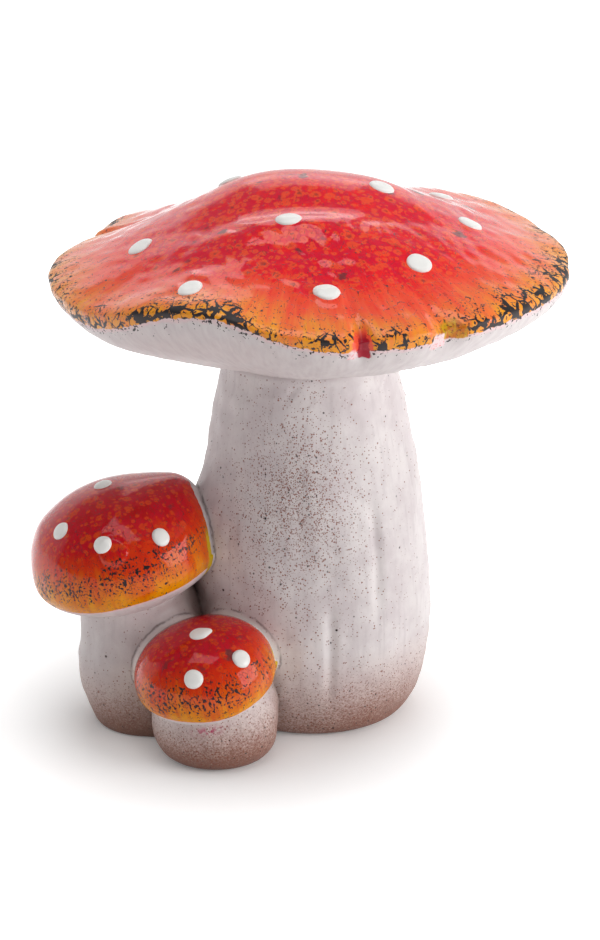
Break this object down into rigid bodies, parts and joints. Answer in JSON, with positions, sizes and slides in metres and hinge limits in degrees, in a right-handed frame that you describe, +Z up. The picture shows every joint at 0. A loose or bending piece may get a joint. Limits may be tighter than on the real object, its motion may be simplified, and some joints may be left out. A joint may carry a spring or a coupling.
{
  "type": "ceramic mushroom ornament",
  "caption": "Glazed ceramic ornament: a tall mushroom with a broad red cap and smaller mushrooms luted to its stem, standing on hollow open feet.",
  "frame": {"origin": "on the ground under the middle of the cluster's box", "axes": "+Z up, the front of the cluster faces -Y, the smaller mushrooms stand towards -X and -Y"},
  "size_m": [0.21, 0.2006, 0.2189],
  "materials": {
    "red_glaze": "glossy reactive red glaze, mottled orange, yellow and black at the rim",
    "white_glaze": "satin greyish white glaze with brown and black speckle",
    "white_enamel": "glossy white enamel",
    "joining_slip": "fired slip under glaze"
  },
  "bodies": {
    "root": {"large_stem": "white_glaze", "large_cap": "red_glaze", "medium_stem": "white_glaze", "medium_cap": "red_glaze", "small_stem": "white_glaze", "small_cap": "red_glaze", "large_neck_slip": "joining_slip", "medium_neck_slip": "joining_slip", "small_neck_slip": "joining_slip", "medium_stem_to_large_stem_slip": "joining_slip", "small_stem_to_large_stem_slip": "joining_slip", "small_stem_to_medium_stem_slip": "joining_slip", "medium_cap_to_large_stem_slip": "joining_slip", "small_cap_to_large_stem_slip": "joining_slip", "small_cap_to_medium_stem_slip": "joining_slip", "large_dot_1": "white_enamel", "large_dot_2": "white_enamel", "large_dot_3": "white_enamel", "large_dot_4": "white_enamel", "large_dot_5": "white_enamel", "large_dot_6": "white_enamel", "large_dot_7": "white_enamel", "large_dot_8": "white_enamel", "large_dot_9": "white_enamel", "large_dot_10": "white_enamel", "large_dot_11": "white_enamel", "large_dot_12": "white_enamel", "large_dot_13": "white_enamel", "large_dot_14": "white_enamel", "medium_dot_1": "white_enamel", "medium_dot_2": "white_enamel", "medium_dot_3": "white_enamel", "medium_dot_4": "white_enamel", "medium_dot_5": "white_enamel", "medium_dot_6": "white_enamel", "small_dot_1": "white_enamel", "small_dot_2": "white_enamel", "small_dot_3": "white_enamel"}
  },
  "joints": []
}
